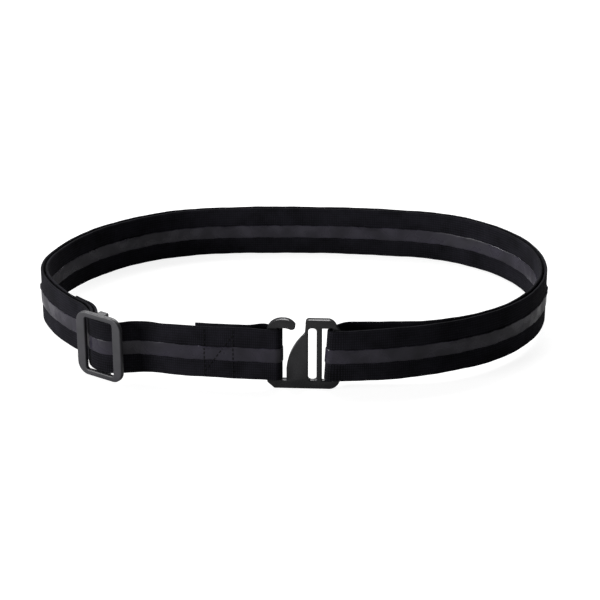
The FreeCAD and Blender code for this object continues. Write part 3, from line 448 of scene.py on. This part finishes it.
# %% [markdown]
# The buckle is cast zinc with a black powder coat: a fine orange peel, satin, a little smoother and
# lighter where fingers and webbing rub it. The slider is moulded nylon in charcoal grey, with a
# finer grain and a duller face.

# %% Powder coat and moulded nylon
def hard_material(name, dark, light, grain, depth, low_rough, high_rough, ior):
    material, tree = start_material(name)
    place = add(tree, "ShaderNodeTexCoord").outputs["Object"]
    peel = add(tree, "ShaderNodeTexNoise", Vector=place, Scale=1 / grain, Detail=3.0).outputs["Fac"]
    rub = add(tree, "ShaderNodeTexNoise", Vector=place, Scale=120.0, Detail=3.0).outputs["Fac"]
    normal = add(tree, "ShaderNodeBump", Strength=0.35, Distance=depth, Height=peel).outputs[0]
    colour = add(tree, "ShaderNodeValToRGB", Fac=rub)
    colour.color_ramp.elements[0].position = 0.35
    colour.color_ramp.elements[0].color = linear(dark)
    colour.color_ramp.elements[1].position = 0.7
    colour.color_ramp.elements[1].color = linear(light)
    gloss = add(
        tree, "ShaderNodeMapRange", Value=rub, To_Min=high_rough, To_Max=low_rough
    ).outputs[0]
    finish_material(tree, Base_Color=colour.outputs[0], Roughness=gloss, Normal=normal, IOR=ior)
    return material


# %% [markdown]
# The thread is bonded polyester, twisted from three strands, so it has a slanting twist and a
# slight wax shine.

# %% Thread
def thread_material():
    material, tree = start_material("bonded_thread")
    place = add(tree, "ShaderNodeTexCoord").outputs["Object"]
    twist = waves(tree, place, "DIAGONAL", 0.35 * MM)
    normal = add(tree, "ShaderNodeBump", Strength=0.5, Distance=0.0001, Height=twist).outputs[0]
    finish_material(tree, Base_Color=linear("050506"), Roughness=0.8, Normal=normal,
                    Specular_IOR_Level=0.15)
    return material


elastic = webbing_material()
silicone = stripe_material()
powder_coat = hard_material(
    "black_powder_coat", "161618", "202022", grain=0.45 * MM, depth=0.00010,
    low_rough=0.20, high_rough=0.34, ior=1.5,
)
nylon = hard_material(
    "charcoal_nylon", "242428", "2e2d32", grain=0.30 * MM, depth=0.00006,
    low_rough=0.40, high_rough=0.52, ior=1.53,
)
thread = thread_material()
print("materials", [m.name for m in bpy.data.materials])

# %% [markdown]
# ## The webbing itself
# A strap's thickness and its round woven edges matter more than its weave, because they catch the
# light. Cloth simulation would lose the flat faces, so the strap is modelled directly: a rounded
# section is carried along the line. The section's height follows the slope of the belt, which is
# raised at the front by the buckle and lies on the ground behind. Small slow waves keep it soft.

# %% The ribbon that carries a section along the line
def edge_height(y):
    """Height of the webbing's lower edge at a place in plan."""
    return EDGE_LIFT * (back_y - y) / (2 * back_y)


def ripple(length, *parts):
    """A sum of slow waves along the webbing; each part is (size, period, phase)."""
    return sum(a * np.sin(2 * math.pi * length / p + f) for a, p, f in parts)


def rounded_section(near, far, half, edge, flat_steps, round_steps):
    """(depth, height) points round a strap's section; near and far are its faces' depths."""
    thick = far - near
    flat = np.linspace(-(half - edge), half - edge, flat_steps)
    turn = np.linspace(0, math.pi, round_steps + 2)[1:-1]
    top = [(near + thick / 2 * (1 - math.cos(a)), half - edge + edge * math.sin(a)) for a in turn]
    front = [(near, v) for v in flat]
    back = [(far, v) for v in flat[::-1]]
    low = [(far - (d - near), -v) for d, v in top]
    return np.array(front + top + back + low)


SAME_PLACE = 1e-5
STRAP_SHARP = 50  # degrees


def ribbon(name, first, last, section, sway, swell, material):
    """A closed strap between two lengths along the webbing's line.

    sway moves its points in height, and swell moves those of its outer face outwards.
    """
    inside = (lengths > first + SAME_PLACE) & (lengths < last - SAME_PLACE)
    s = np.concatenate([[first], lengths[inside], [last]])
    x, y = (np.interp(s, lengths, line[:, k]) for k in (0, 1))
    heading = np.interp(s, lengths, headings)
    side = np.array([right_of(h) for h in heading])
    depth, height = section[:, 0], section[:, 1]
    outer_share = (depth.max() - depth) / (depth.max() - depth.min())
    out = depth[None, :] - swell(s[:, None], height[None, :]) * outer_share[None, :]
    px = x[:, None] + side[:, :1] * out - slack(s[:, None], height[None, :])
    py = y[:, None] + side[:, 1:] * out
    pz = edge_height(py) + STRAP_WIDTH / 2 + height[None, :] + sway(s[:, None], height[None, :])
    rows, ring = px.shape
    verts = np.stack([px, py, pz], -1).reshape(-1, 3)
    faces = []
    for i in range(rows - 1):
        for j in range(ring):
            k = (j + 1) % ring
            faces.append((i * ring + j, (i + 1) * ring + j, (i + 1) * ring + k, i * ring + k))
    faces.append(tuple(range(ring)))
    faces.append(tuple((rows - 1) * ring + j for j in reversed(range(ring))))
    mesh = bpy.data.meshes.new(name)
    mesh.from_pydata(verts.tolist(), [], faces)
    uv = mesh.uv_layers.new(name="UVMap")
    corner = np.array([loop.vertex_index for loop in mesh.loops])
    across = np.tile(height, rows)[corner]
    along = np.repeat(s, ring)[corner]
    uv.data.foreach_set("uv", np.stack([along, across], -1).ravel())
    mesh.materials.append(material)
    mesh.shade_smooth()
    mesh.set_sharp_from_angle(angle=math.radians(STRAP_SHARP))
    piece = bpy.data.objects.new(name, mesh)
    bpy.context.scene.collection.objects.link(piece)
    return piece


# %% [markdown]
# The webbing is cut into lengths only where it passes from one moving body to another. A length
# beside the slider or the buckle touches both bodies and is attached to neither.

# %% Lengths of webbing
OUTER_LEG = 5.0 * MM
OUTER_FLEX = 30.0 * MM
INNER_FLEX = 14.0 * MM
leg_start = marks["round_bar"] - OUTER_LEG
flex_start = leg_start - OUTER_FLEX
wrap_end = marks["round_bar"] + chain_length(round_bar[:2])
inner_flex_end = marks["round_bar"] + chain_length(round_bar) + INNER_FLEX
LENGTHS = [
    # name, first, last, bodies, CAD nodes of the webbing, CAD nodes of the stripe
    ("front", 0.0, marks["right_of_slider"], ["belt"], ["hook_loop", "front_strap"],
     ["front_grip_stripe"]),
    ("right_of_slider", marks["right_of_slider"], marks["on_slider"], ["belt", "slider"],
     ["strap_right_of_slider"], ["stripe_right_of_slider"]),
    ("on_slider", marks["on_slider"], marks["left_of_slider"], ["slider"], ["slider_strap"],
     ["stripe_on_slider"]),
    ("left_of_slider", marks["left_of_slider"], marks["outer"], ["slider", "belt"],
     ["strap_left_of_slider"], ["stripe_left_of_slider"]),
    ("outer", marks["outer"], flex_start, ["belt"],
     ["outer_left_bend", "outer_back_run", "outer_right_back", "outer_right_bend",
      "outer_front_run"],
     ["outer_grip_stripe"]),
    ("by_buckle", flex_start, leg_start, ["belt", "buckle"], ["outer_strap_by_buckle"],
     ["stripe_by_buckle_outside"]),
    ("round_bar", leg_start, wrap_end, ["buckle"], ["buckle_loop"], ["stripe_on_buckle_loop"]),
    ("inside_buckle", wrap_end, inner_flex_end, ["buckle", "belt"], ["inner_strap_by_buckle"],
     ["stripe_by_buckle_inside"]),
    ("inner", inner_flex_end, marks["inner_by_slider"], ["belt"],
     ["inner_front_run", "inner_right_bend", "inner_right_back", "inner_back_run",
      "inner_left_bend"],
     ["inner_grip_stripe"]),
    ("inner_by_slider", marks["inner_by_slider"], marks["sewn_end"], ["belt", "slider"],
     ["inner_strap_by_slider"], ["inner_stripe_by_slider"]),
    ("sewn_end", marks["sewn_end"], webbing_length, ["slider"], ["slider_end_loop"], []),
]
EDGE_ROUND = 0.75 * MM
STRIPE_ROUND = 0.45 * MM
STRIPE_SUNK = 0.15 * MM
# the folded end, and where it comes down to the level of the front layer, before the front run
FOLD_RAISED = 1.0 * MM
FOLD_LEAVES, FOLD_LEVEL = 19 * MM, 13 * MM
# how far each edge moves outwards, or inwards with a minus, and over what length that fades
SPREAD_TOP = 0.45 * MM
SPREAD_LOW = -0.2 * MM
SPREAD_FADE = 14 * MM
SLIDER_DROP = 0.6 * MM
SLIDER_FADE = 15 * MM
# the bead of rubber: where its wave starts and is full, and the share of the half width it leaves
BEAD = 0.7 * MM
BEAD_STARTS, BEAD_FULL = 0.5, 1.2
BEAD_INNER_SHARE = 0.62
BEAD_FADE = 6 * MM
# the slack round the buckle's bar: in the middle, per height, and as shares of the turn
SLACK_MIDDLE = 1.9 * MM
SLACK_SLOPE = 0.06
SLACK_FULL, SLACK_ENDS = 0.3, 0.8
# slow waves, each with its size, its period in metres and its phase
BEAD_WAVES = [(1.0, 0.083, 0.9), (0.8, 0.031, 2.1), (0.5, 0.0117, 0.3)]
WIDTH_WAVES = [(0.10 * MM, 0.061, 0.4), (0.07 * MM, 0.027, 1.9), (0.04 * MM, 0.0113, 0.2)]
STRIPE_TOP_WAVES = [(0.14 * MM, 0.019, 0.3), (0.10 * MM, 0.0071, 2.0), (0.06 * MM, 0.0029, 1.0)]
STRIPE_LOW_WAVES = [(0.14 * MM, 0.023, 1.3), (0.10 * MM, 0.0083, 0.5), (0.06 * MM, 0.0031, 2.2)]
HELD = [
    (marks["front"] - FOLD_LEVEL, marks["front"]), (marks["on_slider"], marks["left_of_slider"]),
    (marks["round_bar"] - OUTER_LEG, wrap_end), (marks["sewn_end"], webbing_length),
]
strap_section = rounded_section(0.0, STRAP_THICKNESS, STRAP_WIDTH / 2, EDGE_ROUND, 17, 5)
stripe_section = rounded_section(-STRIPE_RISE, STRIPE_SUNK, STRIPE_WIDTH / 2, STRIPE_ROUND, 9, 5)


def smooth_step(value, low, high):
    """0 below low and 1 above high, with a soft way between them."""
    share = np.clip((value - low) / (high - low), 0, 1)
    return share * share * (3 - 2 * share)


def raised(s):
    """The folded end was sewn a little higher than the front layer, but sits level on the post."""
    front = marks["front"]
    return FOLD_RAISED * (1 - smooth_step(s, front - FOLD_LEAVES, front - FOLD_LEVEL))


def freedom(s, reach):
    """1 where the webbing is free, and 0 where a fitting holds it."""
    free = np.ones_like(s)
    for first, last in HELD:
        held = smooth_step(s, first - reach, first) * (1 - smooth_step(s, last, last + reach))
        free = free * (1 - held)
    return free


def no_swell(s, height):
    return np.zeros_like(s) * height


def printed_bead(s, height):
    """In short stretches the rubber piled up in a bead along the stripe's upper edge."""
    spots = smooth_step(ripple(s, *BEAD_WAVES), BEAD_STARTS, BEAD_FULL)
    at_edge = smooth_step(height, BEAD_INNER_SHARE * STRIPE_WIDTH / 2, STRIPE_WIDTH / 2)
    return BEAD * spots * freedom(s, BEAD_FADE) * at_edge


def strap_sway(s, height):
    """The webbing's width breathes a little.

    Its upper edge stands higher where no fitting holds it, and its lower edge drops over the
    slider's bar.
    """
    slow = ripple(s, *WIDTH_WAVES)
    free = freedom(s, SPREAD_FADE)
    first, last = marks["on_slider"], marks["left_of_slider"]
    over_bar = smooth_step(s, first, first + SLIDER_FADE)
    over_bar = over_bar * (1 - smooth_step(s, last - SLIDER_FADE, last))
    wide = np.where(height > 0, SPREAD_TOP * free, SPREAD_LOW + SLIDER_DROP * over_bar)
    return raised(s) + (slow + wide) * height / (STRAP_WIDTH / 2)


def stripe_sway(s, height):
    """The printed stripe's two edges wander a little, each in its own way."""
    top, low = ripple(s, *STRIPE_TOP_WAVES), ripple(s, *STRIPE_LOW_WAVES)
    return raised(s) + np.where(height > 0, top, low) * np.abs(height) / (STRIPE_WIDTH / 2)


def slack(s, height):
    """How far the webbing stands off the bar into its slot, more at the bottom than at the top."""
    start, turned = marks["round_bar"], chain_length(round_bar[:1])
    loose = smooth_step(s, start - OUTER_LEG, start + SLACK_FULL * turned)
    loose = loose * (1 - smooth_step(s, start + SLACK_ENDS * turned, wrap_end))
    return loose * (SLACK_MIDDLE - SLACK_SLOPE * height)


def point_at(s):
    """The point of the webbing's line at a length, halfway up the webbing."""
    x, y = (float(np.interp(s, lengths, line[:, k])) for k in (0, 1))
    return Vector((x, y, edge_height(y) + STRAP_WIDTH / 2))


def put_on_bodies(piece, bodies):
    if len(bodies) == 1:
        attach(piece, bodies[0])
    else:
        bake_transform(piece)


def make_lengths():
    for name, first, last, bodies, webbing_nodes, stripe_nodes in LENGTHS:
        strap = ribbon(f"webbing_{name}", first, last, strap_section, strap_sway, no_swell, elastic)
        put_on_bodies(strap, bodies)
        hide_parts(*webbing_nodes)
        if stripe_nodes:
            band = ribbon(
                f"stripe_{name}", first, last, stripe_section, stripe_sway, printed_bead, silicone
            )
            put_on_bodies(band, bodies)
            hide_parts(*stripe_nodes)
        print(name, "%.1f mm on" % ((last - first) / MM), bodies)


make_lengths()

# %% [markdown]
# ## Buckle and slider
# Both are hard parts whose outlines come from the frame. Their meshes are copied, joined up and
# given rounded edges, because a cast or moulded edge is never sharp and its highlight is what makes
# the part look solid.

# %% Hard parts with rounded edges
MERGE_DISTANCE = 0.00001
FLAT_ANGLE, SHARP_ANGLE = math.radians(1.0), math.radians(35)
BUCKLE_EDGE = 0.5 * MM
SLIDER_EDGE = 0.25 * MM


def rounded_copy(node, name, width, material, body):
    mesh = frame["nodes"][node].data.copy()
    mesh.name = name
    work = bmesh.new()
    work.from_mesh(mesh)
    bmesh.ops.remove_doubles(work, verts=work.verts, dist=MERGE_DISTANCE)
    bmesh.ops.dissolve_limit(work, angle_limit=FLAT_ANGLE, verts=work.verts, edges=work.edges)
    work.to_mesh(mesh)
    work.free()
    mesh.materials.clear()
    mesh.materials.append(material)
    piece = bpy.data.objects.new(name, mesh)
    bpy.context.scene.collection.objects.link(piece)
    bevel = piece.modifiers.new("edges", "BEVEL")
    bevel.width = width
    bevel.segments = 3
    bevel.limit_method = "ANGLE"
    bevel.angle_limit = SHARP_ANGLE
    bevel.harden_normals = False
    graph = bpy.context.evaluated_depsgraph_get()
    finished = bpy.data.meshes.new_from_object(piece.evaluated_get(graph))
    piece.modifiers.clear()
    piece.data = finished
    finished.shade_smooth()
    finished.set_sharp_from_angle(angle=SHARP_ANGLE)
    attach(piece, body)
    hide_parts(node)
    print(name, len(finished.polygons), "faces")


rounded_copy("hook_buckle", "buckle", BUCKLE_EDGE, powder_coat, "buckle")
rounded_copy("slider_frame", "slider_body", SLIDER_EDGE, nylon, "slider")

# %% [markdown]
# ## Stitching
# The folded end is sewn with two upright seams and a slanting one between them. Geometry Nodes walk
# each seam at the stitch pitch and lay one small rounded stitch at every step.

# %% A tree that lays stitches along seams
def stitch_tree():
    tree = bpy.data.node_groups.new("stitches_along_seams", "GeometryNodeTree")
    for socket_name, kind, way in (
        ("Seams", "NodeSocketGeometry", "INPUT"), ("Pitch", "NodeSocketFloat", "INPUT"),
        ("Stitch Length", "NodeSocketFloat", "INPUT"), ("Thread", "NodeSocketFloat", "INPUT"),
        ("Material", "NodeSocketMaterial", "INPUT"), ("Stitches", "NodeSocketGeometry", "OUTPUT"),
    ):
        tree.interface.new_socket(socket_name, in_out=way, socket_type=kind)
    given = add(tree, "NodeGroupInput").outputs
    curves = add(tree, "GeometryNodeMeshToCurve", Mesh=given["Seams"]).outputs[0]
    spaced = add(tree, "GeometryNodeResampleCurve", {"mode": "LENGTH"}, Curve=curves,
                 Length=given["Pitch"]).outputs[0]
    tangent = add(tree, "GeometryNodeInputTangent").outputs[0]
    facing = add(tree, "FunctionNodeAlignRotationToVector", {"axis": "Z"},
                 Vector=tangent).outputs[0]
    ball = add(tree, "GeometryNodeMeshUVSphere", Segments=8, Rings=6, Radius=0.5).outputs[0]
    size = add(tree, "ShaderNodeCombineXYZ", X=given["Thread"], Y=given["Thread"],
               Z=given["Stitch Length"]).outputs[0]
    laid = add(tree, "GeometryNodeInstanceOnPoints", Points=spaced, Instance=ball, Rotation=facing,
               Scale=size).outputs[0]
    real = add(tree, "GeometryNodeRealizeInstances", Geometry=laid).outputs[0]
    smooth = add(tree, "GeometryNodeSetShadeSmooth", Geometry=real).outputs[0]
    painted = add(tree, "GeometryNodeSetMaterial", Geometry=smooth,
                  Material=given["Material"]).outputs[0]
    add(tree, "NodeGroupOutput", Stitches=painted)
    return tree


def sew(name, seams, node, body):
    """Stitches along seams, each a list of points in metres."""
    points, edges = [], []
    for seam in seams:
        base = len(points)
        points += [tuple(p) for p in seam]
        edges += [(base + i, base + i + 1) for i in range(len(seam) - 1)]
    mesh = bpy.data.meshes.new(name)
    mesh.from_pydata(points, edges, [])
    piece = bpy.data.objects.new(name, mesh)
    bpy.context.scene.collection.objects.link(piece)
    modifier = piece.modifiers.new("stitches", "NODES")
    modifier.node_group = tree = stitch_tree()
    wanted = {
        "Pitch": STITCH_PITCH, "Stitch Length": STITCH_LENGTH, "Thread": THREAD, "Material": thread,
    }
    for item in tree.interface.items_tree:
        if item.name in wanted:
            modifier[item.identifier] = wanted[item.name]
    graph = bpy.context.evaluated_depsgraph_get()
    finished = bpy.data.meshes.new_from_object(piece.evaluated_get(graph))
    piece.modifiers.clear()
    piece.data = finished
    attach(piece, body)
    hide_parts(node)
    print(name, len(seams), "seams", len(finished.polygons), "faces")


# %% [markdown]
# A seam is a line over a face of the webbing that climbs onto the stripe where it crosses it.

# %% The seams
STITCH_PITCH = 2.6 * MM
STITCH_LENGTH = 2.1 * MM
THREAD = 0.55 * MM
SEAM_MARGIN = 2.0 * MM
FIRST_SEAM = 23.0 * MM
SECOND_SEAM = 39.0 * MM
SLANT_GAP = 0.6 * MM
SLANT_MARGIN = 4.8 * MM
SEAM_POINTS = 27
END_SEAM_DEGREES = (1.0, 3.2)
THREAD_SUNK = 0.05 * MM


def seam_over(s_low, s_high, depth, on_stripe, margin=SEAM_MARGIN):
    """Points of a seam from the webbing's lower edge to its upper edge."""
    half = STRAP_WIDTH / 2 - margin
    points = []
    for share in np.linspace(0, 1, SEAM_POINTS):
        s = s_low + (s_high - s_low) * share
        height = -half + 2 * half * share
        out = depth
        if on_stripe and abs(height) < STRIPE_WIDTH / 2:
            out += math.copysign(STRIPE_RISE, depth)
        middle = point_at(s)
        side = right_of(float(np.interp(s, lengths, headings)))
        points.append((middle.x - side[0] * out, middle.y - side[1] * out, middle.z + height))
    return points


def sewn_box(start, depth):
    first, second = start + FIRST_SEAM, start + SECOND_SEAM
    return [
        seam_over(first, first, depth, True),
        seam_over(second, second, depth, True),
        seam_over(second - SLANT_GAP, first + SLANT_GAP, depth, True, SLANT_MARGIN),
    ]


behind = -(2 * STRAP_THICKNESS + SEWN_GAP)
hook_seams = sewn_box(marks["front"], THREAD_SUNK) + sewn_box(marks["front"], behind - THREAD_SUNK)
sew("hook_seams", hook_seams, "hook_loop_stitching", "belt")

end_seams = []
for degrees in END_SEAM_DEGREES:
    s = webbing_length - math.radians(degrees) * tail_radius
    end_seams.append(seam_over(s, s, -(STRAP_THICKNESS + THREAD_SUNK), False))
sew("slider_seams", end_seams, "slider_loop_stitching", "slider")

# %% [markdown]
# ## Floor, light and colour
# The belt stands on a white table top. A large light above and behind draws the glints along the
# stripe and the top edges. The main light comes from the left and the front, which leaves the right
# side darker. The floor is stage and not part of the belt, and it isn't a plain white one: its
# colour is a mid grey, and it glows much more strongly to the camera's own rays than to the belt.
# So it looks white without lighting the belt from below as much as a white floor really would.

# %% Floor and lights
FLOOR_REACH = 6.0
FLOOR_GLOW = 0.06
FLOOR_GLOW_ADDED_FOR_CAMERA = 0.8
WORLD_STRENGTH = 0.13
LIGHT_AIM = Vector((0, 0, 0.015))
LIGHTS = [
    # name, place and size in metres, power in watts
    ("over_and_behind", (-0.2, 0.7, 1.0), (1.5, 0.8), 26.0),
    ("left_front", (-1.6, -0.75, 0.45), (0.7, 0.7), 36.0),
]


def area_light(name, at, size, power):
    data = bpy.data.lights.new(name, "AREA")
    data.shape = "RECTANGLE"
    data.size, data.size_y = size
    data.energy = power
    light = bpy.data.objects.new(name, data)
    light.location = at
    light.rotation_euler = (LIGHT_AIM - Vector(at)).to_track_quat("-Z", "Y").to_euler()
    bpy.context.scene.collection.objects.link(light)


def pale_floor():
    mesh = bpy.data.meshes.new("floor")
    reach = FLOOR_REACH
    corners = [(-reach, -reach, 0), (reach, -reach, 0), (reach, reach, 0), (-reach, reach, 0)]
    mesh.from_pydata(corners, [], [(0, 1, 2, 3)])
    material, tree = start_material("pale_floor")
    seen = add(tree, "ShaderNodeLightPath").outputs["Is Camera Ray"]
    glow = add(tree, "ShaderNodeMath", {"operation": "MULTIPLY_ADD"}, i0=seen,
               i1=FLOOR_GLOW_ADDED_FOR_CAMERA, i2=FLOOR_GLOW).outputs[0]
    finish_material(tree, Base_Color=linear("9c9c9c"), Roughness=0.9, Specular_IOR_Level=0.1,
                    Emission_Color=linear("ffffff"), Emission_Strength=glow)
    mesh.materials.append(material)
    floor = bpy.data.objects.new("floor", mesh)
    bpy.context.scene.collection.objects.link(floor)


def studio():
    world = bpy.data.worlds.new("studio")
    world.use_nodes = True
    world.node_tree.nodes["Background"].inputs[0].default_value = linear("ffffff")
    world.node_tree.nodes["Background"].inputs[1].default_value = WORLD_STRENGTH
    bpy.context.scene.world = world
    for light in LIGHTS:
        area_light(*light)
    bpy.context.scene.view_settings.view_transform = "Standard"


pale_floor()
studio()
